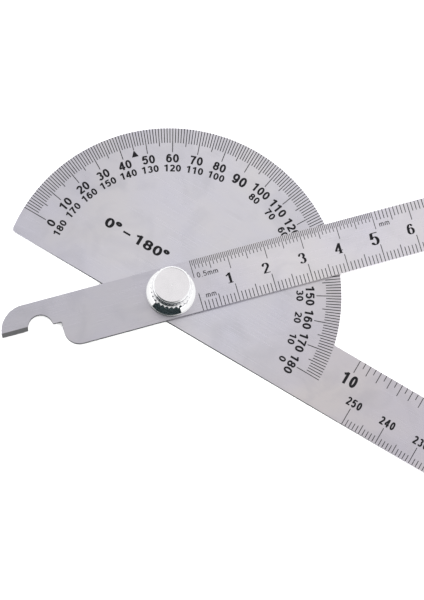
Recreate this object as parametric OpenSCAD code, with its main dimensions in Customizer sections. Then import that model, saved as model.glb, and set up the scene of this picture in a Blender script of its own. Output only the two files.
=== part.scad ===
// Two-arm protractor: a half-disc blade with a fixed ruler arm, a swing arm with
// a hook end, a clinched pivot stud, a captive clamp washer and a thumb nut.
// The origin is on the pivot axis, in the plane of the blade's back face.
// +X runs along the fixed ruler arm, +Y to the 90 degree mark, +Z out of the front.

/* [Base blade] */
// Thickness of the sheet
blade_t = 1.0; // [1.0:0.1:1.4]
// Radius of the half-disc
disc_r = 45; // [40:1:60]
// Distance from the pivot down to the straight edge
edge_drop = 7; // [6:0.5:9]
// Width of the fixed ruler arm
ruler_w = 17.2; // [15:0.2:20]
// Distance from the pivot to the outer end of the ruler arm
ruler_reach = 305.8; // [200:0.2:400]
// Radius of the corner between the straight edge and the arc
heel_r = 1; // [0.5:0.5:3]
// Radius of the corners at the ruler arm's outer end
ruler_tip_r = 0.5; // [0.25:0.25:2]

/* [Swing arm] */
// Angle from the fixed ruler arm to the swing arm
arm_angle = 46.4; // [20:0.1:160]
// Thickness of the sheet
arm_t = 1.0; // [0.8:0.1:1.4]
// Width of the arm
arm_w = 14; // [13:0.5:16]
// Distance from the pivot to the scaled end
arm_reach = 162; // [120:1:200]
// Distance from the pivot to the tip of the hook
hook_reach = 45.5; // [44:0.5:60]
// Radius of the round notch in the hook
notch_r = 3.3; // [2.5:0.1:3.5]
// Width of the bevel behind the knife edge
bevel_w = 1; // [0.5:0.1:1.5]
// Radius of the corners at the scaled end
arm_tip_r = 2; // [0.5:0.5:6]

/* [Pivot stud] */
// Diameter of the shoulder and of the thread
stud_d = 5; // [4:0.5:6]
// Thread pitch
pitch = 0.8; // [0.7:0.05:1.0]
// Diameter of the head, flush with the back face
head_d = 8; // [7:0.5:10]
// Thickness of the head
head_t = 0.6; // [0.4:0.1:0.7]
// Clinching ribs around the head
rib_count = 24; // [12:1:36]

/* [Thumb nut] */
// Diameter of the clamp washer
washer_d = 13; // [12:0.5:15]
// Thickness of the clamp washer
washer_t = 0.5; // [0.5:0.1:1.0]
// Diameter of the nut's skirt
skirt_d = 12.6; // [12:0.1:13.5]
// Diameter over the serrations
grip_d = 11.2; // [11:0.1:11.8]
// Height of the ring of serrations
grip_h = 1.2; // [0.8:0.1:1.4]
// Diameter of the waist between the skirt and the serrations
waist_d = 9.2; // [9:0.1:10]
// Diameter of the plain button above the serrations
button_d = 10; // [8:0.5:10]
// Height of the nut
nut_h = 8.8; // [8.6:0.2:11]
// Height of the button
button_h = 3; // [2.4:0.1:3.2]
// Serrations around the nut
tooth_count = 30; // [20:1:40]

/* [Hidden] */
$fn = 96;
over = 1;                       // how far a cutter runs past what it cuts

arm_gap = 0.05;                 // running gap between the two blades
washer_gap = 0.03;              // gaps under and over the washer
arm_z = blade_t + arm_gap;
arm_top = arm_z + arm_t;
washer_z = arm_top + washer_gap;
nut_z = washer_z + washer_t + washer_gap;

stud_r = stud_d / 2;
pivot_clear = 0.06;             // radial, shoulder in the swing arm's hole
thread_clear = 0.05;            // radial, thread crests in the nut's bore
thread_depth = 0.613 * pitch;
thread_turns = 8;
shoulder_over = 0.3;            // how far the shoulder stands above the swing arm
thread_z = arm_top + shoulder_over;
stud_top = thread_z + thread_turns * pitch;

skirt_r = skirt_d / 2;
grip_r = grip_d / 2;
tooth_h = 0.3;                  // height of a serration
neck_r = grip_r - tooth_h;      // root of the serrations
waist_r = waist_d / 2;
collar_r = 3.5;                 // nut collar that carries the washer
collar_clear = 0.05;            // radial, collar in the washer
collar_h = washer_t - 0.05;
lip_w = 0.25;                   // flare that keeps the washer on the collar
lip_h = 0.12;

// Points along an arc about c, from angle a0 to a1
function arc(c, r, a0, a1, n = 8) =
    [for (i = [0:n]) let (a = a0 + (a1 - a0) * i / n) c + r * [cos(a), sin(a)]];

// A bar from x = 0 with square corners there and round ones at x = length
module bar(length, width, r) {
    square([length - r, width]);
    translate([length - r - over, r]) square([r + over, width - 2 * r]);
    for (y = [r, width - r])
        translate([length - r, y]) circle(r);
}

// Half-disc and ruler arm in one outline, its heel rounded
module blade_outline() {
    heel_y = heel_r - edge_drop;
    heel_x = -sqrt(pow(disc_r - heel_r, 2) - pow(heel_y, 2));
    outward = (disc_r + over) / (disc_r - heel_r);
    difference() {
        union() {
            intersection() {
                circle(disc_r);
                translate([-disc_r, -edge_drop]) square([2 * disc_r, disc_r + edge_drop]);
            }
            translate([0, -edge_drop]) bar(ruler_reach, ruler_w, ruler_tip_r);
        }
        polygon([
            [heel_x, heel_y],
            [heel_x, -edge_drop - over],
            [-disc_r - over, -edge_drop - over],
            [heel_x, heel_y] * outward
        ]);
    }
    translate([heel_x, heel_y]) circle(heel_r);
}

module base_blade() {
    color("gainsboro")
    difference() {
        linear_extrude(blade_t) blade_outline();
        translate([0, 0, -over]) cylinder(h = blade_t + 2 * over, r = stud_r);
        translate([0, 0, -over]) cylinder(h = head_t + over, r = head_d / 2);
    }
}

// The swing arm's outline: pivot at the origin, knife edge on the line y = 0
module arm_outline() {
    half_w = arm_w / 2;
    hook_l = 15.9;                  // from the hook's tip to the full-width body
    body_x = hook_l - hook_reach;
    toe_r = 4;                      // round corner of the body below the hook
    inner_r = 0.4;                  // round corner between hook and body
    notch_x = -hook_reach + half_w + notch_r;
    difference() {
        union() {
            translate([body_x + toe_r, -half_w]) bar(arm_reach - body_x - toe_r, arm_w, arm_tip_r);
            translate([body_x, toe_r - half_w]) square([toe_r + over, arm_w - toe_r]);
            translate([body_x + toe_r, toe_r - half_w]) circle(toe_r);
            translate([-hook_reach + half_w, 0]) square([hook_reach, half_w]);
            intersection() {
                translate([-hook_reach + half_w, 0]) circle(half_w);
                translate([-hook_reach, 0]) square(half_w);
            }
            translate([body_x - inner_r, -inner_r]) square(inner_r + over);
        }
        translate([notch_x, 0]) circle(notch_r);
        translate([body_x - inner_r, -inner_r]) circle(inner_r);
    }
}

module swing_arm() {
    land = 0.15;                    // flat left on the knife edge
    bevel_x = -hook_reach - over;
    notch_start = -hook_reach + arm_w / 2;
    color("silver")
    translate([0, 0, arm_z])
    rotate(arm_angle)
    difference() {
        linear_extrude(arm_t) arm_outline();
        translate([0, 0, -over]) cylinder(h = arm_t + 2 * over, r = stud_r + pivot_clear);
        translate([bevel_x, 0, 0])
            rotate([90, 0, 90])
            linear_extrude(notch_start - bevel_x)
            polygon([
                [-over, land],
                [0, land],
                [bevel_w, arm_t],
                [bevel_w, arm_t + over],
                [-over, arm_t + over]
            ]);
    }
}

// Flush head, shoulder and a thread drawn as rings
module pivot_stud() {
    rib_h = 0.1;
    end_taper = 0.4;
    crest_flat = pitch / 8;
    rings = [for (i = [0:thread_turns - 1]) let (z = thread_z + i * pitch) each [
        [stud_r, z],
        [stud_r - thread_depth, z + pitch / 2 - crest_flat / 2],
        [stud_r - thread_depth, z + pitch / 2 + crest_flat / 2],
        [stud_r, z + pitch - crest_flat]
    ]];
    color("lightgray") {
        rotate_extrude()
            polygon(concat(
                [[0, 0], [head_d / 2, 0], [head_d / 2, head_t], [stud_r, head_t]],
                rings,
                [[stud_r, stud_top], [stud_r - end_taper, stud_top + end_taper], [0, stud_top + end_taper]]
            ));
        for (i = [0:rib_count - 1])
            rotate(i * 360 / rib_count)
            translate([head_d / 2, 0, 0])
            rotate(45)
            translate([-rib_h, -rib_h, 0]) cube([2 * rib_h, 2 * rib_h, head_t]);
    }
}

// Flat ring, countersunk below so that the nut's flared collar keeps it
module clamp_washer() {
    bore_r = collar_r + collar_clear;
    edge = 0.1;
    sink_clear = 0.1;               // room for the lip in the countersink
    sink_h = lip_h + sink_clear;
    sink_r = bore_r + lip_w + 2 * sink_clear;
    color("whitesmoke")
    translate([0, 0, washer_z])
    rotate_extrude()
        polygon([
            [sink_r, 0],
            [washer_d / 2 - edge, 0],
            [washer_d / 2, edge],
            [washer_d / 2, washer_t - edge],
            [washer_d / 2 - edge, washer_t],
            [bore_r, washer_t],
            [bore_r, sink_h]
        ]);
}

// Radius and height of the bell-shaped flare, t = 0 at the skirt and 1 at the waist
function flare(t, z0, z1) = [waist_r + (skirt_r - waist_r) * pow(1 - t, 2), z0 + (z1 - z0) * t];

// Bell-shaped skirt, serrated neck and plain button, with a blind bore for the stud
module thumb_nut() {
    bore_r = stud_r + thread_clear;
    bore_spare = 1;                 // bore left above the stud
    bore_top = stud_top + bore_spare - nut_z;
    foot_in = 0.3;                  // chamfer under the skirt
    foot_h = 0.35;
    band_h = 0.9;                   // height to the top of the skirt's widest band
    shelf_h = nut_h - button_h;     // top of the grip, under the button
    grip_low = shelf_h - grip_h;
    waist_top = grip_low - (neck_r - waist_r);
    waist_h = 0.4;                  // straight part of the waist
    flare_top = waist_top - waist_h;
    flare_steps = 12;
    rim_r = 0.5;                    // rounding of the button
    tooth_root = neck_r - tooth_h;  // a serration's sides start inside the ring
    tooth_half = 2 * PI * neck_r / tooth_count;
    tooth_in = 0.05;                // the serrations end just inside the ring's ends
    dimple_r = 0.2;
    dimple_h = 0.12;
    color("white")
    translate([0, 0, nut_z])
    difference() {
        union() {
            rotate_extrude()
                polygon(concat(
                    [[0, 0], [skirt_r - foot_in, 0], [skirt_r, foot_h]],
                    [for (i = [0:flare_steps]) flare(i / flare_steps, band_h, flare_top)],
                    [[waist_r, waist_top], [neck_r, grip_low], [neck_r, shelf_h], [button_d / 2, shelf_h]],
                    arc([button_d / 2 - rim_r, nut_h - rim_r], rim_r, 0, 90),
                    [[0, nut_h]]
                ));
            rotate_extrude()
                polygon([
                    [bore_r, over],
                    [bore_r, -collar_h],
                    [collar_r + lip_w - lip_h / 2, -collar_h],
                    [collar_r, lip_h - collar_h],
                    [collar_r, over]
                ]);
            for (i = [0:tooth_count - 1])
                rotate(i * 360 / tooth_count)
                translate([0, 0, grip_low + tooth_in])
                linear_extrude(grip_h - 2 * tooth_in)
                polygon([[tooth_root, -tooth_half], [grip_r, 0], [tooth_root, tooth_half]]);
        }
        translate([0, 0, -over]) cylinder(h = bore_top + over, r = bore_r);
        translate([0, 0, nut_h - dimple_h]) cylinder(h = 2 * dimple_h, r1 = 0, r2 = 2 * dimple_r);
    }
}

base_blade();
swing_arm();
pivot_stud();
clamp_washer();
thumb_nut();
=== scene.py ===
import math

import bmesh
import bpy
import numpy as np
from mathutils import Matrix, Vector


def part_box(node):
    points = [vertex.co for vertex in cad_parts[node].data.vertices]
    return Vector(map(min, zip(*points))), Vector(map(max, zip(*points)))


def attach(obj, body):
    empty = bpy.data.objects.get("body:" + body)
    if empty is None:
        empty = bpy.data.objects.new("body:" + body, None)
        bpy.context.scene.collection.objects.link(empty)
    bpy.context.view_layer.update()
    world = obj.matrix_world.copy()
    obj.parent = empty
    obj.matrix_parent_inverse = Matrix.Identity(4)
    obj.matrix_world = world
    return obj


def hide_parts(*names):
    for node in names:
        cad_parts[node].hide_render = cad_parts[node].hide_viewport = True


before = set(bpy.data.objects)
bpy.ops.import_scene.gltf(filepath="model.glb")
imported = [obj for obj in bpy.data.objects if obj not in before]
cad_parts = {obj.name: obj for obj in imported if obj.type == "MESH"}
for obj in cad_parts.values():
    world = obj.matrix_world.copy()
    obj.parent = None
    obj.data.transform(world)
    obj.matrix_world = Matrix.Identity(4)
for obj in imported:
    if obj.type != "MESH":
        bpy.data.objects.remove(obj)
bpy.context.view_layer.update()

# Sizes are in millimetres and angles in degrees. Objects are built in metres.
MM = 0.001

# The blades. The frame gives their faces; the outlines repeat the part's driving dimensions.
DISC_R = 45
EDGE_DROP = 7
RULER_W = 17.2
RULER_REACH = 305.8
HEEL_R = 1
RULER_TIP_R = 0.5
ARM_ANGLE = 46.4
ARM_W = 14
ARM_REACH = 162
HOOK_REACH = 45.5
HOOK_LENGTH = 15.9
TOE_R = 4
INNER_R = 0.4
NOTCH_R = 3.3
BEVEL_W = 1
BEVEL_LAND = 0.15
ARM_TIP_R = 2
STUD_R = 2.5
HEAD_R = 4
HEAD_T = 0.6
ARM_HOLE_R = 2.56
SHEET_EDGE = 0.07

# How far cutters reach past what they cut
PAST = 1

# The clamp
WAIST_R = 4.6
NECK_R = 5.3
GRIP_R = 5.6
GRIP_H = 1.2
BUTTON_R = 5
BUTTON_H = 3
RIM_R = 0.5
BAND_H = 0.9
TOOTH_COUNT = 30
COLLAR_R = 3.5
WASHER_GAP = 0.03
CLEARANCE = 0.05

# The scales
LINE_W = 0.21
FINE_W = 0.2
HAIR_W = 0.17
INK_SINK = 0.01
INK_RISE = 0.012
INCH = 25.4
ARM_SCALE = 150
HALF_MM_TO = 50

# Where ticks end, by the largest step that divides their number. First a radius, then lengths.
DEGREE_TICKS = ((10, 38.3), (5, 40.0), (1, 40.9))
MM_TICKS = ((10, 4.7), (5, 2.65), (1, 1.9))
INCH_TICKS = ((16, 3.8), (8, 3.4), (4, 3.2), (2, 3.0), (1, 1.75))
ARM_UPPER_TICKS = ((20, 4.9), (10, 3.5), (2, 2.6), (1, 1.6))
ARM_LOWER_TICKS = ((20, 4.8), (10, 3.4), (2, 2.5))


def z_span(node):
    """Lowest and highest z of a CAD node, in millimetres."""
    low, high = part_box(node)
    return low.z / MM, high.z / MM


BLADE_Z, BLADE_TOP = z_span("base_blade")
ARM_Z, ARM_TOP = z_span("swing_arm")
WASHER_Z, WASHER_TOP = z_span("clamp_washer")
NUT_Z, NUT_TOP = z_span("thumb_nut")
SKIRT_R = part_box("thumb_nut")[1].x / MM
WASHER_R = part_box("clamp_washer")[1].x / MM


# ---------------------------------------------------------------- mesh helpers

def make_object(name, verts, faces, smooth_below=None):
    """A mesh object from points in millimetres, smooth except where it bends sharply."""
    mesh = bpy.data.meshes.new(name)
    mesh.from_pydata([tuple(MM * c for c in v) for v in verts], [], faces)
    bm = bmesh.new()
    bm.from_mesh(mesh)
    bmesh.ops.recalc_face_normals(bm, faces=bm.faces)
    bm.to_mesh(mesh)
    bm.free()
    obj = bpy.data.objects.new(name, mesh)
    bpy.context.scene.collection.objects.link(obj)
    if smooth_below is not None:
        mesh.shade_smooth()
        mesh.set_sharp_from_angle(angle=math.radians(smooth_below))
    return obj


def apply_modifiers(obj):
    """Bakes an object's modifiers into its mesh."""
    graph = bpy.context.evaluated_depsgraph_get()
    baked = bpy.data.meshes.new_from_object(obj.evaluated_get(graph))
    obj.modifiers.clear()
    obj.data = baked


def combine(obj, other, operation):
    """Joins or cuts obj with other, and removes other."""
    mod = obj.modifiers.new(operation.lower(), "BOOLEAN")
    mod.operation = operation
    mod.solver = "EXACT"
    mod.object = other
    apply_modifiers(obj)
    bpy.data.objects.remove(other)


def arc(cx, cy, r, start, end, step=1.5):
    """Points on an arc, both ends included."""
    count = max(4, round(abs(end - start) / step))
    angles = np.radians(np.linspace(start, end, count + 1))
    return [(cx + r * math.cos(a), cy + r * math.sin(a)) for a in angles]


def inset(outline, depth):
    """The outline moved inwards by a small depth. It runs anticlockwise."""
    p = np.array(outline)
    along = np.roll(p, -1, 0) - p
    along /= np.linalg.norm(along, axis=1)[:, None]
    after = np.stack([-along[:, 1], along[:, 0]], 1)
    before = np.roll(after, 1, 0)
    mitre = (after + before) / (1 + (after * before).sum(1))[:, None]
    return p + depth * mitre


def plate(name, outline, z0, z1):
    """A flat sheet with softly rounded edges."""
    turns = np.radians([0, 30, 60, 90])
    rounding = [(SHEET_EDGE * (1 - math.sin(t)), SHEET_EDGE * (1 - math.cos(t))) for t in turns]
    levels = [(z0 + rise, depth) for rise, depth in rounding[::-1]]
    levels += [(z1 - rise, depth) for rise, depth in rounding]
    verts = [(x, y, z) for z, depth in levels for x, y in inset(outline, depth)]
    n = len(outline)
    faces = [
        (k * n + i, k * n + (i + 1) % n, (k + 1) * n + (i + 1) % n, (k + 1) * n + i)
        for k in range(len(levels) - 1)
        for i in range(n)
    ]
    faces.append(tuple(range(n))[::-1])
    faces.append(tuple(range((len(levels) - 1) * n, len(levels) * n)))
    return make_object(name, verts, faces)


def lathe(name, profile, columns, radius=None, smooth_below=35):
    """Turns (r, z) points round the pivot. radius(r, z, angle) may shape the wall."""
    verts, rings = [], []
    for r, z in profile:
        if r == 0:
            rings.append([len(verts)] * columns)
            verts.append((0, 0, z))
            continue
        rings.append(list(range(len(verts), len(verts) + columns)))
        for i in range(columns):
            a = 2 * math.pi * i / columns
            wall = radius(r, z, a) if radius else r
            verts.append((wall * math.cos(a), wall * math.sin(a), z))
    faces = []
    for low, high in zip(rings, rings[1:] + rings[:1]):
        for i in range(columns):
            j = (i + 1) % columns
            face = list(dict.fromkeys([low[i], low[j], high[j], high[i]]))
            if len(face) > 2:
                faces.append(tuple(face))
    return make_object(name, verts, faces, smooth_below)


# ---------------------------------------------------------------- blades

def blade_outline():
    """Half disc and ruler arm in one, anticlockwise from the arm's end."""
    heel_y = HEEL_R - EDGE_DROP
    heel_x = -math.sqrt((DISC_R - HEEL_R) ** 2 - heel_y**2)
    heel_turn = 180 + math.degrees(math.atan2(-heel_y, -heel_x))
    ruler_top = RULER_W - EDGE_DROP
    meet = math.degrees(math.asin(ruler_top / DISC_R))
    tip_x = RULER_REACH - RULER_TIP_R
    return (
        arc(tip_x, RULER_TIP_R - EDGE_DROP, RULER_TIP_R, -90, 0, 15)
        + arc(tip_x, ruler_top - RULER_TIP_R, RULER_TIP_R, 0, 90, 15)
        + arc(0, 0, DISC_R, meet, heel_turn, 1)
        + arc(heel_x, heel_y, HEEL_R, heel_turn, 270, 9)[1:]
    )


def arm_outline():
    """The swing arm along x, anticlockwise from its plain end: the hook is at low x."""
    half = ARM_W / 2
    body_x = HOOK_LENGTH - HOOK_REACH
    tip_x = ARM_REACH - ARM_TIP_R
    quarter_x = half - HOOK_REACH
    return (
        arc(tip_x, ARM_TIP_R - half, ARM_TIP_R, -90, 0, 10)
        + arc(tip_x, half - ARM_TIP_R, ARM_TIP_R, 0, 90, 10)
        + arc(quarter_x, 0, half, 90, 180, 3)
        + arc(quarter_x + NOTCH_R, 0, NOTCH_R, 180, 0, 5)
        + arc(body_x - INNER_R, -INNER_R, INNER_R, 90, 0, 15)
        + arc(body_x + TOE_R, TOE_R - half, TOE_R, 180, 270, 5)
    )


def turned(points):
    """Points of the arm's own frame, turned about the pivot to where the arm rests."""
    c, s = math.cos(math.radians(ARM_ANGLE)), math.sin(math.radians(ARM_ANGLE))
    return [(x * c - y * s, x * s + y * c, *rest) for x, y, *rest in points]


def disc_cutter(r, z0, z1):
    """A round bar on the pivot's axis."""
    return lathe("cutter", [(0, z0), (r, z0), (r, z1), (0, z1)], columns=96)


def prism(corners, x0, x1):
    """A bar along x whose (y, z) section is given."""
    n = len(corners)
    verts = [(x, y, z) for x in (x0, x1) for y, z in corners]
    faces = [(i, (i + 1) % n, n + (i + 1) % n, n + i) for i in range(n)]
    return verts, faces + [tuple(range(n)), tuple(range(n, 2 * n))]


def base_blade():
    """The blade, with the stud's hole and the recess for its head."""
    blade = plate("base_blade_sheet", blade_outline(), BLADE_Z, BLADE_TOP)
    combine(blade, disc_cutter(STUD_R, BLADE_Z - PAST, BLADE_TOP + PAST), "DIFFERENCE")
    combine(blade, disc_cutter(HEAD_R, BLADE_Z - PAST, BLADE_Z + HEAD_T), "DIFFERENCE")
    return blade


def swing_arm():
    """The swing arm, with the pivot's hole and the knife edge along the hook."""
    arm = plate("swing_arm_sheet", turned(arm_outline()), ARM_Z, ARM_TOP)
    combine(arm, disc_cutter(ARM_HOLE_R, ARM_Z - PAST, ARM_TOP + PAST), "DIFFERENCE")
    notch_x = ARM_W / 2 + NOTCH_R - HOOK_REACH
    bevel_end = notch_x - math.sqrt(NOTCH_R**2 - BEVEL_W**2)
    section = [
        (-PAST, ARM_Z + BEVEL_LAND),
        (0, ARM_Z + BEVEL_LAND),
        (BEVEL_W, ARM_TOP),
        (BEVEL_W, ARM_TOP + PAST),
        (-PAST, ARM_TOP + PAST),
    ]
    verts, faces = prism(section, -HOOK_REACH - PAST, bevel_end)
    combine(arm, make_object("cutter", turned(verts), faces), "DIFFERENCE")
    return arm


def mark_bevel(arm, slot_index):
    """Gives the knife edge's sloping face its own material."""
    slope = math.atan2(ARM_TOP - ARM_Z - BEVEL_LAND, BEVEL_W)
    (facing,) = turned([(0, -math.sin(slope), math.cos(slope))])
    parallel = 0.999
    for face in arm.data.polygons:
        if face.normal.dot(Vector(facing)) > parallel:
            face.material_index = slot_index


# ---------------------------------------------------------------- clamp

def thumb_nut():
    """Bell-shaped skirt, serrated ring and plain button, hollow for the stud."""
    foot = WASHER_TOP + WASHER_GAP
    shelf = NUT_TOP - BUTTON_H
    grip_low = shelf - GRIP_H
    waist_top = grip_low - (NECK_R - WAIST_R)
    waist_h = 0.4
    flare_low, flare_top = foot + BAND_H, waist_top - waist_h
    flare_points = 19
    bore_h = 7.1
    bore_r, bore_top = STUD_R + CLEARANCE, foot + bore_h
    lip_w, lip_h = 0.19, 0.12
    foot_r = 0.3
    flat_r = BUTTON_R - RIM_R
    dimple_r, dimple_h = 0.2, 0.12
    edge = 0.04
    groove = 0.06
    # Above 1, the crest of a tooth is flat
    steepness = 1.12
    tooth_columns = 12

    def flare(t):
        """A point of the flare, t = 0 at the skirt and 1 at the waist."""
        return WAIST_R + (SKIRT_R - WAIST_R) * (1 - t) ** 2, flare_low + t * (flare_top - flare_low)

    def wall(r, z, a):
        """The wall's radius, with the serrations on their ring."""
        if not grip_low - edge < z < shelf or r < NECK_R - edge:
            return r
        phase = a * TOOTH_COUNT / (2 * math.pi) % 1
        ridge = min(1, steepness * (1 - abs(2 * phase - 1)))
        return r + (GRIP_R - NECK_R) * ridge

    profile = [(0, bore_top), (bore_r, bore_top), (bore_r, NUT_Z)]
    profile += [(COLLAR_R + lip_w, NUT_Z), (COLLAR_R, NUT_Z + lip_h), (COLLAR_R, foot)]
    profile += arc(SKIRT_R - foot_r, foot + foot_r, foot_r, -90, 0, 15)
    profile += [flare(t) for t in np.linspace(0, 1, flare_points)]
    profile += [(WAIST_R, waist_top)]
    profile += [(NECK_R, z) for z in np.linspace(grip_low, shelf - edge, 3)]
    profile += [(NECK_R - edge, shelf), (BUTTON_R, shelf)]
    profile += arc(flat_r, NUT_TOP - RIM_R, RIM_R, 0, 80, 8)
    profile += [(flat_r + groove / 2, NUT_TOP - groove), (flat_r - groove / 2, NUT_TOP)]
    profile += [(dimple_r, NUT_TOP), (0, NUT_TOP - dimple_h)]
    return lathe("thumb_nut_turned", profile, TOOTH_COUNT * tooth_columns, wall, smooth_below=28)


def clamp_washer():
    """A flat ring with a rounded rim, countersunk below for the lip of the nut's collar."""
    edge = 0.12
    sink_w, sink_h = 0.45, 0.22
    bore = COLLAR_R + CLEARANCE
    rim = WASHER_R - edge
    profile = [(bore + sink_w, WASHER_Z)]
    profile += [(rim + x, WASHER_Z + edge + z) for x, z in arc(0, 0, edge, -90, 0, 30)]
    profile += [(rim + x, WASHER_TOP - edge + z) for x, z in arc(0, 0, edge, 0, 90, 30)]
    profile += [(bore, WASHER_TOP), (bore, WASHER_Z + sink_h)]
    return lathe("clamp_washer_turned", profile, columns=180)


# ---------------------------------------------------------------- numerals

def bow(cx, cy, rx, ry, start, end):
    """Part of an ellipse as a pen path."""
    count = max(6, round(abs(end - start) / 10))
    angles = np.radians(np.linspace(start, end, count + 1))
    return [(cx + rx * math.cos(a), cy + ry * math.sin(a)) for a in angles]


def ring(cx, cy, rx, ry):
    """A whole ellipse, marked as closed by its name in the list of strokes."""
    return ("closed", bow(cx, cy, rx, ry, 0, 350))


def span(cx, low, high, rx, start, end):
    """An elliptical bow that reaches from low to high."""
    return bow(cx, (low + high) / 2, rx, (high - low) / 2, start, end)


def hull_ring(cx, low, high, rx):
    """A whole ellipse that reaches from low to high."""
    return ring(cx, (low + high) / 2, rx, (high - low) / 2)


def digit_paths(char, w, mx, my):
    """Pen paths of a digit of height 1 and width w. mx and my are half the pen."""
    left, low, top, cx = mx, my, 1 - my, w / 2
    rx = w / 2 - mx
    waist = 0.53
    if char == "0":
        return [hull_ring(cx, low, top, rx)]
    if char == "1":
        stem = 0.6 * w
        flag = [(stem, top - 0.02), (stem - 0.3 * w, 0.8), (stem - 0.48 * w, 0.74)]
        return [[(stem, 0), (stem, 1)], flag]
    if char == "2":
        head = span(cx, 0.46, top, rx, 165, -35)
        return [head + [(left + 0.02, low + 0.02)], [(left - mx * 0.6, low), (w - 0.01, low)]]
    if char == "3":
        return [span(cx - 0.01, waist, top, rx * 0.9, 155, -90), span(cx, low, waist, rx, 90, -155)]
    if char == "4":
        stem = 0.68 * w
        return [[(stem, 0), (stem, 1)], [(stem, 0.96), (left * 0.5, 0.3)], [(0, 0.28), (w, 0.28)]]
    if char == "5":
        bowl = span(cx - 0.01, low, 0.64, rx, 140, -152)
        return [[(0.2 * w, top), (0.92 * w, top)], [(0.24 * w, top), (0.17 * w, 0.47)], bowl]
    if char == "6":
        return [hull_ring(cx, low, 0.62, rx), span(cx + 0.01, low, top, rx, 45, 200)]
    if char == "7":
        return [[(0.02, top), (w - 0.02, top)], [(w - mx - 0.02, top), (0.5 * w, 0.42), (0.38 * w, 0)]]
    if char == "8":
        return [hull_ring(cx, waist - 0.02, top, rx * 0.87), hull_ring(cx, low, waist + 0.01, rx)]
    if char == "9":
        return [flip(path, w) for path in digit_paths("6", w, mx, my)]
    raise ValueError(char)


def flip(path, w):
    """A path turned upside down within its box."""
    if path[0] == "closed":
        return ("closed", [(w - x, 1 - y) for x, y in path[1]])
    return [(w - x, 1 - y) for x, y in path]


def sign_paths(char):
    """Pen paths of the unit letters and signs, and their width."""
    if char == "m":
        stem = [(0.06, 0), (0.06, 0.6)]
        arches = [bow(x + 0.16, 0.44, 0.16, 0.18, 180, 0) + [(x + 0.32, 0)] for x in (0.06, 0.38)]
        return [stem] + arches, 0.78
    if char == ".":
        return [[(0.04, 0.06), (0.16, 0.06)]], 0.2
    if char == "-":
        return [[(0.26, 0.45), (0.84, 0.45)]], 1.1
    if char == "o":
        return [ring(0.18, 0.84, 0.13, 0.13)], 0.36
    raise ValueError(char)


# Width of a digit, pen across upright strokes, pen across level strokes, gap to the next digit
STYLES = {
    "bold": (0.68, 0.23, 0.19, 0.1),
    "narrow": (0.5, 0.2, 0.17, 0.13),
    "serif": (0.6, 0.2, 0.07, 0.08),
    "light": (0.55, 0.13, 0.12, 0.16),
}
# Extra strokes of the serif digits, and the middles of the balls that end their bows
SERIFS = {
    "1": [[(0.12, 0.025), (0.54, 0.025)]],
    "4": [[(0.24, 0.025), (0.56, 0.025)]],
    "7": [[(0.05, 0.93), (0.05, 0.76)]],
}
BALLS = {"2": (0.12, 0.76), "3": (0.11, 0.79), "5": (0.1, 0.16), "6": (0.44, 0.85), "9": (0.12, 0.15)}
BALL_R = 0.085


def stroke_mesh(path, thick, thin):
    """A pen stroke one unit deep: thick where it runs upright, thin where it runs level."""
    contrast = 1.4
    closed = path[0] == "closed"
    p = np.array(path[1] if closed else path, float)
    if closed:
        t = np.roll(p, -1, 0) - np.roll(p, 1, 0)
    else:
        t = np.gradient(p, axis=0)
    t /= np.linalg.norm(t, axis=1)[:, None]
    half = (thin + (thick - thin) * np.abs(t[:, 1]) ** contrast) / 2
    side = np.stack([-t[:, 1], t[:, 0]], 1) * half[:, None]
    verts = []
    for a, b in zip(p + side, p - side):
        verts += [(*a, 1), (*b, 1), (*b, 0), (*a, 0)]
    n = len(p)
    faces = [
        (4 * i + k, 4 * i + (k + 1) % 4, 4 * ((i + 1) % n) + (k + 1) % 4, 4 * ((i + 1) % n) + k)
        for i in range(n if closed else n - 1)
        for k in range(4)
    ]
    if not closed:
        faces += [(0, 1, 2, 3), tuple(4 * (n - 1) + k for k in (3, 2, 1, 0))]
    return verts, faces


def ball_mesh(centre):
    """The round end of a serif digit's bow."""
    rim = bow(*centre, BALL_R, BALL_R, 0, 340)
    n = len(rim)
    verts = [(x, y, z) for z in (0, 1) for x, y in rim]
    faces = [(i, (i + 1) % n, n + (i + 1) % n, n + i) for i in range(n)]
    return verts, faces + [tuple(range(n)), tuple(range(n, 2 * n))]


# Finished glyphs, by character and style
GLYPHS = {}


def glyph(char, style):
    """Points, faces and advance of a character of height 1, its strokes merged."""
    if (char, style) in GLYPHS:
        return GLYPHS[char, style]
    width, thick, thin, gap = STYLES[style]
    if char.isdigit():
        paths = digit_paths(char, width, thick / 2, thin / 2)
    else:
        paths, width = sign_paths(char)
    parts = [stroke_mesh(path, thick, thin) for path in paths]
    if style == "serif":
        parts += [stroke_mesh(path, thick, thin) for path in SERIFS.get(char, [])]
        if char in BALLS:
            parts.append(ball_mesh(BALLS[char]))
    merged = None
    for verts, faces in parts:
        piece = make_object("glyph", [tuple(c / MM for c in v) for v in verts], faces)
        if merged is None:
            merged = piece
        else:
            combine(merged, piece, "UNION")
    verts = np.array([v.co for v in merged.data.vertices])
    faces = [tuple(f.vertices) for f in merged.data.polygons]
    bpy.data.objects.remove(merged)
    GLYPHS[char, style] = (verts, faces, width, gap)
    return GLYPHS[char, style]


# ---------------------------------------------------------------- scales

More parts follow.
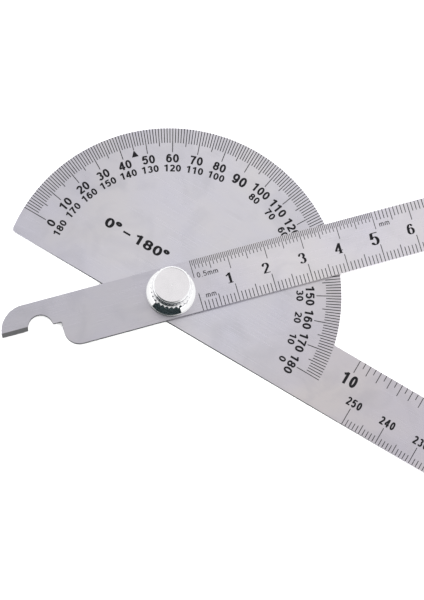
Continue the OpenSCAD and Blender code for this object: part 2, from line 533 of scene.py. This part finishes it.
class Marks:
    """Collects the filled lines and numerals of one scale, on a face at height top."""

    def __init__(self, top):
        self.low, self.high = top - INK_SINK, top + INK_RISE
        self.verts, self.faces = [], []

    def add(self, flat, faces):
        """Adds a shape whose z runs from 0, in the sheet, to 1, at the mark's face."""
        first = len(self.verts)
        self.verts += [(x, y, self.low + z * (self.high - self.low)) for x, y, z in flat]
        self.faces += [tuple(first + i for i in f) for f in faces]

    def polygon(self, corners):
        """A filled shape given by its corners."""
        n = len(corners)
        flat = [(x, y, z) for z in (0, 1) for x, y in corners]
        sides = [(i, (i + 1) % n, n + (i + 1) % n, n + i) for i in range(n)]
        self.add(flat, sides + [tuple(range(n)), tuple(range(n, 2 * n))])

    def line(self, a, b, width):
        """A straight line from a to b with square ends."""
        (ax, ay), (bx, by) = a, b
        length = math.hypot(bx - ax, by - ay)
        nx, ny = (ay - by) / length * width / 2, (bx - ax) / length * width / 2
        self.polygon([(ax - nx, ay - ny), (bx - nx, by - ny), (bx + nx, by + ny), (ax + nx, ay + ny)])

    def write(self, text, style, height, centre, angle, stretch=1):
        """Writes text about its centre, its baseline turned by angle and stretched along it."""
        letters = [glyph(char, style) for char in text]
        total = sum(w for *_, w, _ in letters) + sum(g for *_, g in letters[:-1])
        c, s = math.cos(math.radians(angle)), math.sin(math.radians(angle))
        pen = -total / 2
        for verts, faces, width, gap in letters:
            x = (verts[:, 0] + pen) * height * stretch
            y = (verts[:, 1] - 0.5) * height
            placed = [centre[0] + x * c - y * s, centre[1] + x * s + y * c, verts[:, 2]]
            self.add(np.stack(placed, 1), faces)
            pen += width + gap

    def build(self, name):
        """All the marks as one object."""
        return make_object(name, self.verts, self.faces)


def on_dial(degree, r):
    """A point on the dial: 0 degrees is on the left, 180 on the right."""
    a = math.radians(180 - degree)
    return r * math.cos(a), r * math.sin(a)


def tick(number, ticks):
    """The entry of the first step in a tick table that divides a number."""
    return next(size for step, size in ticks if number % step == 0)


def degree_scale():
    """The dial: ticks, a row of numerals from each side, and a small pointer at 45 degrees."""
    marks = Marks(BLADE_TOP)
    rim = DISC_R - SHEET_EDGE
    middle_h, middle_r = 2.75, 35.7
    outer_h, outer_r = 2.35, 36.65
    inner_h, inner_r, inner_stretch = 1.9, 33.95, 1.08
    pointer_at, pointer_half = 45, 1.4
    pointer_tip_r, pointer_foot_r = 39.95, 38.1
    for degree in range(181):
        marks.line(on_dial(degree, rim), on_dial(degree, tick(degree, DEGREE_TICKS)), LINE_W)
    for degree in range(0, 181, 10):
        upright = 90 - degree
        if degree == 90:
            marks.write("90", "bold", middle_h, on_dial(90, middle_r), 0)
            continue
        marks.write(str(degree), "bold", outer_h, on_dial(degree, outer_r), upright)
        marks.write(str(180 - degree), "bold", inner_h, on_dial(degree, inner_r), upright, inner_stretch)
    pointer = [on_dial(pointer_at, pointer_tip_r)]
    pointer += [on_dial(pointer_at + side * pointer_half, pointer_foot_r) for side in (1, -1)]
    marks.polygon(pointer)
    return marks.build("degree_scale")


def range_mark():
    """A plain range, 0 to 180 degrees, where such tools carry their name."""
    marks = Marks(BLADE_TOP)
    marks.write("0o-180o", "bold", height=2.7, centre=(-15.3, 8.0), angle=0, stretch=1.35)
    return marks.build("range_mark")


def ruler_scale():
    """Millimetres on the straight edge and sixteenths of an inch on the other."""
    marks = Marks(BLADE_TOP)
    length_mm, length_in, per_inch = 250, 10, 16
    mm_h, mm_y, mm_dx, mm_stretch = 2.25, 6.35 - EDGE_DROP, 0.2, 1.08
    inch_h, inch_y, inch_stretch = 3.3, 4.2, 1.15
    low, high = SHEET_EDGE - EDGE_DROP, RULER_W - EDGE_DROP - SHEET_EDGE
    for mm in range(1, length_mm + 1):
        x = RULER_REACH - mm
        marks.line((x, low), (x, tick(mm, MM_TICKS) - EDGE_DROP), FINE_W)
        if mm % 10 == 0:
            marks.write(str(mm), "narrow", mm_h, (x + mm_dx, mm_y), 0, mm_stretch)
    for step in range(1, length_in * per_inch + 1):
        x = RULER_REACH - step * INCH / per_inch
        marks.line((x, high), (x, RULER_W - EDGE_DROP - tick(step, INCH_TICKS)), FINE_W)
        if step % per_inch == 0:
            marks.write(str(step // per_inch), "narrow", inch_h, (x, inch_y), 0, inch_stretch)
    return marks.build("ruler_scale")


def arm_scale():
    """Half-millimetres for 50 mm, then millimetres, above; millimetres below."""
    marks = Marks(ARM_TOP)
    zero = 6.95
    half_w = ARM_W / 2
    upper, lower = half_w - SHEET_EDGE, SHEET_EDGE - half_w
    number_h, fifth_h = 2.8, 3.4
    number_dx, number_y, number_stretch = -1.1, -0.3, 1.2
    unit_h, unit_stretch = 1.45, 1.12
    units = (("0.5mm", 3.7, 2.6), ("mm", 3.1, -3.1), ("mm", 52.6, 3.2))

    def upright(x, from_y, to_y, width):
        marks.line(*turned([(x, from_y), (x, to_y)]), width)

    for half_mm in range(2 * ARM_SCALE + 1):
        x = zero + half_mm / 2
        coarse = half_mm > 2 * HALF_MM_TO
        if half_mm % 2 == 0 or not coarse:
            upright(x, upper, half_w - tick(half_mm, ARM_UPPER_TICKS), FINE_W if coarse else HAIR_W)
        if half_mm % 2 == 0:
            upright(x, lower, tick(half_mm, ARM_LOWER_TICKS) - half_w, FINE_W)
    for cm in range(1, ARM_SCALE // 10 + 1):
        height = fifth_h if cm % 5 == 0 else number_h
        (centre,) = turned([(zero + 10 * cm + number_dx, number_y)])
        marks.write(str(cm), "serif", height, centre, ARM_ANGLE, number_stretch)
    for text, x, y in units:
        (centre,) = turned([(zero + x, y)])
        marks.write(text, "light", unit_h, centre, ARM_ANGLE, unit_stretch)
    return marks.build("arm_scale")


# ---------------------------------------------------------------- materials

# Noise lies mostly between these values
NOISE_LOW, NOISE_HIGH = 0.3, 0.7


class Nodes:
    """Short ways to add nodes to a tree."""

    def __init__(self, tree):
        self.tree = tree

    def add(self, kind, **settings):
        """A new node of a kind, with settings of its own."""
        node = self.tree.nodes.new(kind)
        for key, value in settings.items():
            setattr(node, key, value)
        return node

    def link(self, output, target):
        """Joins an output to an input."""
        self.tree.links.new(output, target)

    def noise(self, vector, scale, detail=4, rough=0.5, distortion=0):
        """Cloudy noise. A finer scale is a larger number."""
        node = self.add("ShaderNodeTexNoise")
        node.inputs["Scale"].default_value = scale
        node.inputs["Detail"].default_value = detail
        node.inputs["Roughness"].default_value = rough
        node.inputs["Distortion"].default_value = distortion
        self.link(vector, node.inputs["Vector"])
        return node.outputs["Fac"]

    def remap(self, value, low, high, to_low, to_high, interpolation="LINEAR"):
        """A value from one range mapped to another, and held at its ends."""
        node = self.add("ShaderNodeMapRange", interpolation_type=interpolation)
        for key, number in zip(("From Min", "From Max", "To Min", "To Max"), (low, high, to_low, to_high)):
            node.inputs[key].default_value = number
        self.link(value, node.inputs["Value"])
        return node.outputs["Result"]

    def spread(self, noise, to_low, to_high):
        """Noise mapped to a new range."""
        return self.remap(noise, NOISE_LOW, NOISE_HIGH, to_low, to_high)

    def along(self, vector, direction):
        """How far a vector reaches in a direction."""
        node = self.add("ShaderNodeVectorMath", operation="DOT_PRODUCT")
        node.inputs[1].default_value = direction
        self.link(vector, node.inputs[0])
        return node.outputs["Value"]

    def math(self, operation, *values):
        """The result of an operation on one or two values."""
        node = self.add("ShaderNodeMath", operation=operation)
        for socket, value in zip(node.inputs, values):
            self.link(value, socket)
        return node.outputs["Value"]

    def blend(self, factor, first, second):
        """The first colour where factor is 0 and the second where it is 1."""
        node = self.add("ShaderNodeMix", data_type="RGBA")
        self.link(factor, node.inputs["Factor"])
        for socket, colour in zip(("A", "B"), (first, second)):
            target = [s for s in node.inputs if s.name == socket and s.type == "RGBA"][0]
            if isinstance(colour, bpy.types.NodeSocket):
                self.link(colour, target)
            else:
                target.default_value = (*colour, 1)
        return [s for s in node.outputs if s.type == "RGBA"][0]


class Shader(Nodes):
    """A Principled material."""

    def __init__(self, name, **inputs):
        self.material = bpy.data.materials.new(name)
        self.material.use_nodes = True
        super().__init__(self.material.node_tree)
        self.bsdf = self.tree.nodes["Principled BSDF"]
        for key, value in inputs.items():
            self.bsdf.inputs[key.replace("_", " ")].default_value = value
        self.coords = self.add("ShaderNodeTexCoord").outputs["Object"]

    def stretched(self, scale, angle=0):
        """Object coordinates turned by angle and scaled, so that grain runs along x."""
        turn = self.add("ShaderNodeMapping", vector_type="TEXTURE")
        turn.inputs["Rotation"].default_value[2] = math.radians(angle)
        size = self.add("ShaderNodeMapping")
        size.inputs["Scale"].default_value = scale
        self.link(self.coords, turn.inputs["Vector"])
        self.link(turn.outputs["Vector"], size.inputs["Vector"])
        return size.outputs["Vector"]

    def bump(self, height, strength, distance):
        """Lets a height turn the surface's normal. distance is in metres."""
        node = self.add("ShaderNodeBump")
        node.inputs["Strength"].default_value = strength
        node.inputs["Distance"].default_value = distance
        self.link(height, node.inputs["Height"])
        self.link(node.outputs["Normal"], self.bsdf.inputs["Normal"])


def drift(s, angle, painted_sheen_tones, sheen_ramps):
    """Painted highlight and shade: three brightness factors that follow each other along a sheet, over two
    ramps in millimetres.
    """
    reach = s.along(s.stretched((1, 1, 1), angle), (1, 0, 0))
    tone = painted_sheen_tones[0]
    for (start, end), following in zip(sheen_ramps, painted_sheen_tones[1:]):
        step = s.remap(reach, start * MM, end * MM, 0, 1, "SMOOTHSTEP")
        tone = s.blend(step, tone, following)
    return tone


def satin_steel(name, angle, cool, warm, dark, painted_sheen_tones, sheen_ramps):
    """Rolled and lightly brushed sheet: cloudy tint, fine grain, a few stray scratches, and a painted
    highlight that brightens and darkens the tint along the sheet.
    """
    s = Shader(name, Metallic=1.0)
    clouds = s.spread(s.noise(s.coords, scale=32, detail=5, rough=0.55, distortion=0.4), 0, 1)
    patches = s.noise(s.coords, scale=95, detail=4, rough=0.55, distortion=1.0)
    grain = s.noise(s.stretched((60, 5200, 60), angle), scale=1, detail=3, rough=0.6)
    scratches = s.noise(s.stretched((9, 1500, 9), angle + 7), scale=1, detail=1, rough=0.4)
    tint = s.blend(clouds, cool, warm)
    tint = s.blend(s.remap(patches, 0.47, 0.72, 0, 0.5), tint, dark)
    tint = s.blend(s.remap(scratches, 0.68, 0.76, 0, 0.1), tint, dark)
    # Painted highlight: the tint is multiplied by brightness factors that change along the sheet, standing
    # in for broad reflections.
    painted_sheen_tint = s.add("ShaderNodeVectorMath", operation="MULTIPLY")
    s.link(tint, painted_sheen_tint.inputs[0])
    s.link(drift(s, angle, painted_sheen_tones, sheen_ramps), painted_sheen_tint.inputs[1])
    rough = s.math("ADD", s.spread(grain, 0.26, 0.34), s.remap(clouds, 0, 1, -0.02, 0.03))
    s.link(painted_sheen_tint.outputs["Vector"], s.bsdf.inputs["Base Color"])
    s.link(rough, s.bsdf.inputs["Roughness"])
    s.bump(grain, strength=0.08, distance=0.00002)
    return s.material


def ground_edge():
    """The bevel's dull ground face, with lines across the edge."""
    s = Shader("ground_edge", Metallic=1.0)
    deep, light = (0.12, 0.12, 0.125), (0.26, 0.26, 0.265)
    lines = s.noise(s.stretched((6000, 80, 80), ARM_ANGLE), scale=1, detail=3, rough=0.6)
    s.link(s.blend(lines, deep, light), s.bsdf.inputs["Base Color"])
    s.link(s.spread(lines, 0.4, 0.6), s.bsdf.inputs["Roughness"])
    s.bump(lines, strength=0.3, distance=0.00003)
    return s.material


def scale_ink():
    """Black enamel in the etched lines, slightly uneven."""
    s = Shader("scale_ink", Metallic=0.0, Specular_IOR_Level=0.15)
    deep, light = (0.002, 0.002, 0.003), (0.007, 0.007, 0.008)
    speckle = s.noise(s.coords, scale=2600, detail=3, rough=0.6)
    s.link(s.blend(speckle, deep, light), s.bsdf.inputs["Base Color"])
    s.link(s.spread(speckle, 0.45, 0.7), s.bsdf.inputs["Roughness"])
    s.bump(speckle, strength=0.2, distance=0.00001)
    return s.material


def hazed(s, haze, tint, shade, smoothest, roughest):
    """Tint and roughness that follow a haze. Where it is thick the tint is darker by shade."""
    s.link(s.blend(haze, tint, tuple(shade * c for c in tint)), s.bsdf.inputs["Base Color"])
    s.link(s.spread(haze, smoothest, roughest), s.bsdf.inputs["Roughness"])


def chrome(name, tint, smoothest, roughest):
    """Bright plating with faint polishing haze and hairlines round the axis."""
    s = Shader(name, Metallic=1.0)
    haze = s.noise(s.coords, scale=260, detail=4, rough=0.55)
    hair = s.noise(s.stretched((300, 300, 9000)), scale=1, detail=2, rough=0.5)
    hazed(s, haze, tint, 0.93, smoothest, roughest)
    s.bump(hair, strength=0.03, distance=0.00001)
    return s.material


def turned_face(name, tint, smoothest, roughest):
    """A plated face with the fine rings that a lathe leaves."""
    s = Shader(name, Metallic=1.0)
    mm_per_radian = 0.12
    radians_per_unit = 20
    rings = s.add("ShaderNodeTexWave", wave_type="RINGS", rings_direction="Z")
    rings.inputs["Scale"].default_value = 1 / (mm_per_radian * MM) / radians_per_unit
    rings.inputs["Distortion"].default_value = 0.6
    rings.inputs["Detail"].default_value = 2
    s.link(s.coords, rings.inputs["Vector"])
    haze = s.noise(s.coords, scale=420, detail=4, rough=0.55)
    hazed(s, haze, tint, 0.95, smoothest, roughest)
    s.bump(rings.outputs["Fac"], strength=0.05, distance=0.00002)
    return s.material


def put_material(obj, *materials):
    """Gives an object its materials, in the order of its material slots."""
    obj.data.materials.clear()
    for material in materials:
        obj.data.materials.append(material)


# ---------------------------------------------------------------- pieces

blade_steel = satin_steel(
    "blade_steel",
    angle=0,
    cool=(0.6, 0.59, 0.675),
    warm=(0.675, 0.652, 0.668),
    dark=(0.52, 0.51, 0.56),
    # Painted highlight along the blade: brightest in the middle, darker towards both ends.
    painted_sheen_tones=((0.87, 0.87, 0.885), (0.975, 0.975, 0.97), (0.89, 0.865, 0.86)),
    sheen_ramps=((-38, -12), (15, 50)),
)
arm_steel = satin_steel(
    "arm_steel",
    angle=ARM_ANGLE,
    cool=(0.595, 0.58, 0.66),
    warm=(0.67, 0.648, 0.658),
    dark=(0.51, 0.5, 0.55),
    # Painted highlight along the arm: the tint brightens across the pivot towards one end.
    painted_sheen_tones=((0.82, 0.82, 0.82), (0.83, 0.83, 0.845), (1.08, 1.07, 1.045)),
    sheen_ramps=((-45, -15), (-15, 35)),
)
ink = scale_ink()
bright = chrome("nut_chrome", (0.93, 0.93, 0.94), smoothest=0.03, roughest=0.07)
plated = chrome("washer_plate", (0.86, 0.86, 0.87), smoothest=0.1, roughest=0.18)
top_face = turned_face("nut_face", (0.79, 0.77, 0.79), smoothest=0.2, roughest=0.26)
stud_steel = turned_face("stud_steel", (0.6, 0.6, 0.61), smoothest=0.25, roughest=0.35)


def fit_out(piece, body, slot, *materials, replaces=None):
    """Hands a finished piece to the frame."""
    put_material(piece, *materials)
    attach(piece, body)
    if replaces:
        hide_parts(replaces)


blade = base_blade()
fit_out(blade, "blade", "blade_steel", blade_steel, replaces="base_blade")
arm = swing_arm()
fit_out(arm, "arm", "arm_steel", arm_steel, ground_edge(), replaces="swing_arm")
mark_bevel(arm, 1)
sharp_above = math.radians(12)
for sheet in (blade, arm):
    sheet.data.shade_smooth()
    sheet.data.set_sharp_from_angle(angle=sharp_above)

nut = thumb_nut()
fit_out(nut, "nut", "nut_chrome", bright, top_face, replaces="thumb_nut")
level = 0.99
for face in nut.data.polygons:
    if face.normal.z > level and face.center.z > (NUT_TOP - RIM_R) * MM:
        face.material_index = 1
washer = clamp_washer()
fit_out(washer, "washer", "washer_plate", plated, replaces="clamp_washer")
put_material(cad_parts["pivot_stud"], stud_steel)

for marks in (degree_scale(), range_mark(), ruler_scale()):
    fit_out(marks, "blade", "blade_steel", ink)
fit_out(arm_scale(), "arm", "arm_steel", ink)


# ---------------------------------------------------------------- studio

WHITE = (1, 1, 1)

# The way to the studio's dark side, in front of the object and above it. The sky grows dark between
# these two cosines of the angle to it.
DARK_SIDE = (0.046, -0.528, 0.848)
DARK_FROM, DARK_TO = 0.76, 0.97
SKY_LIGHT = (1.06, 1.06, 1.06)
SKY_DARK = (0.03, 0.038, 0.04)

# The floor lies a little under the blade
FLOOR_HALF = 2500
FLOOR_GAP = 0.15

# Dark cloth in front of the nut that only reflections see: on the floor, and hung round an arc
CLOTH = (15, -35)
CLOTH_FULL_R, CLOTH_GONE_R = 40, 75
CLOTH_TONE = (0.02, 0.026, 0.028)
SCREEN_R = 30
SCREEN_H = 17
SCREEN_FROM, SCREEN_TO = -118, -28


def lay_cloth(s, z):
    """Mixes dark cloth into the floor's material, for reflections only."""
    cloth = s.add("ShaderNodeBsdfDiffuse")
    cloth.inputs["Color"].default_value = (*CLOTH_TONE, 1)
    away = s.add("ShaderNodeVectorMath", operation="DISTANCE")
    away.inputs[1].default_value = tuple(c * MM for c in (*CLOTH, z))
    s.link(s.coords, away.inputs[0])
    near = s.remap(away.outputs["Value"], CLOTH_FULL_R * MM, CLOTH_GONE_R * MM, 1, 0, "SMOOTHSTEP")
    reflected = s.add("ShaderNodeLightPath").outputs["Is Glossy Ray"]
    choice = s.add("ShaderNodeMixShader")
    s.link(s.math("MULTIPLY", near, reflected), choice.inputs[0])
    s.link(s.bsdf.outputs["BSDF"], choice.inputs[1])
    s.link(cloth.outputs["BSDF"], choice.inputs[2])
    s.link(choice.outputs["Shader"], s.tree.nodes["Material Output"].inputs["Surface"])


def studio_floor():
    """A wide pale floor just under the blade."""
    z = BLADE_Z - FLOOR_GAP
    corners = [(x * FLOOR_HALF, y * FLOOR_HALF, z) for x, y in ((-1, -1), (1, -1), (1, 1), (-1, 1))]
    floor = make_object("floor", corners, [(0, 1, 2, 3)])
    s = Shader("floor_white", Roughness=0.9, Specular_IOR_Level=0.1)
    mottle = s.noise(s.coords, scale=6, detail=2, rough=0.5)
    s.link(s.blend(mottle, (0.93, 0.93, 0.93), (0.95, 0.95, 0.95)), s.bsdf.inputs["Base Color"])
    lay_cloth(s, z)
    put_material(floor, s.material)


def studio_screen():
    """A low dark screen in front of the nut, seen in the metal only."""
    rim = arc(0, 0, SCREEN_R, SCREEN_FROM, SCREEN_TO, 5)
    n = len(rim)
    verts = [(x, y, z) for z in (0, SCREEN_H) for x, y in rim]
    faces = [(i, i + 1, n + i + 1, n + i) for i in range(n - 1)]
    screen = make_object("screen", verts, faces)
    s = Shader("screen_cloth", Roughness=1.0, Specular_IOR_Level=0.0)
    weave = s.noise(s.coords, scale=300, detail=2)
    s.link(s.blend(weave, (0.015, 0.022, 0.024), (0.022, 0.03, 0.032)), s.bsdf.inputs["Base Color"])
    put_material(screen, s.material)
    screen.visible_camera = False
    screen.visible_diffuse = False
    screen.visible_shadow = False


def studio_sky():
    """Soft white all round, with one dark side for the metal to reflect."""
    world = bpy.data.worlds.new("studio")
    bpy.context.scene.world = world
    world.use_nodes = True
    sky = Nodes(world.node_tree)
    view = sky.add("ShaderNodeTexCoord").outputs["Generated"]
    dark = sky.remap(sky.along(view, DARK_SIDE), DARK_FROM, DARK_TO, 0, 1, "SMOOTHSTEP")
    tone = sky.blend(dark, SKY_LIGHT, SKY_DARK)
    seen = sky.add("ShaderNodeLightPath").outputs["Is Camera Ray"]
    sky.link(sky.blend(seen, tone, WHITE), sky.tree.nodes["Background"].inputs["Color"])


def studio_light():
    """A very soft overhead light for the floor and the marks."""
    data = bpy.data.lights.new("overhead", "SUN")
    data.energy = 5
    data.angle = math.radians(90)
    light = bpy.data.objects.new("overhead", data)
    light.visible_glossy = False
    bpy.context.scene.collection.objects.link(light)


def studio_camera():
    """Looks down from in front, turned so that the ruler arm runs down to the right."""
    place = Vector((46.6, -111.25, 562.2)) * MM
    aim = Vector((10.2, 4.0, 1.0)) * MM
    up_turn = math.radians(120.49)
    data = bpy.data.cameras.new("camera")
    data.lens = 131.3
    data.sensor_width = 36
    data.clip_start = 0.01
    camera = bpy.data.objects.new("camera", data)
    forward = (aim - place).normalized()
    right = forward.cross(Vector((math.cos(up_turn), math.sin(up_turn), 0))).normalized()
    up = right.cross(forward)
    turn = Matrix((right, up, -forward)).transposed().to_4x4()
    camera.matrix_world = Matrix.Translation(place) @ turn
    bpy.context.scene.collection.objects.link(camera)
    bpy.context.scene.camera = camera


studio_floor()
studio_screen()
studio_sky()
studio_light()
studio_camera()
bpy.context.scene.view_settings.view_transform = "Standard"
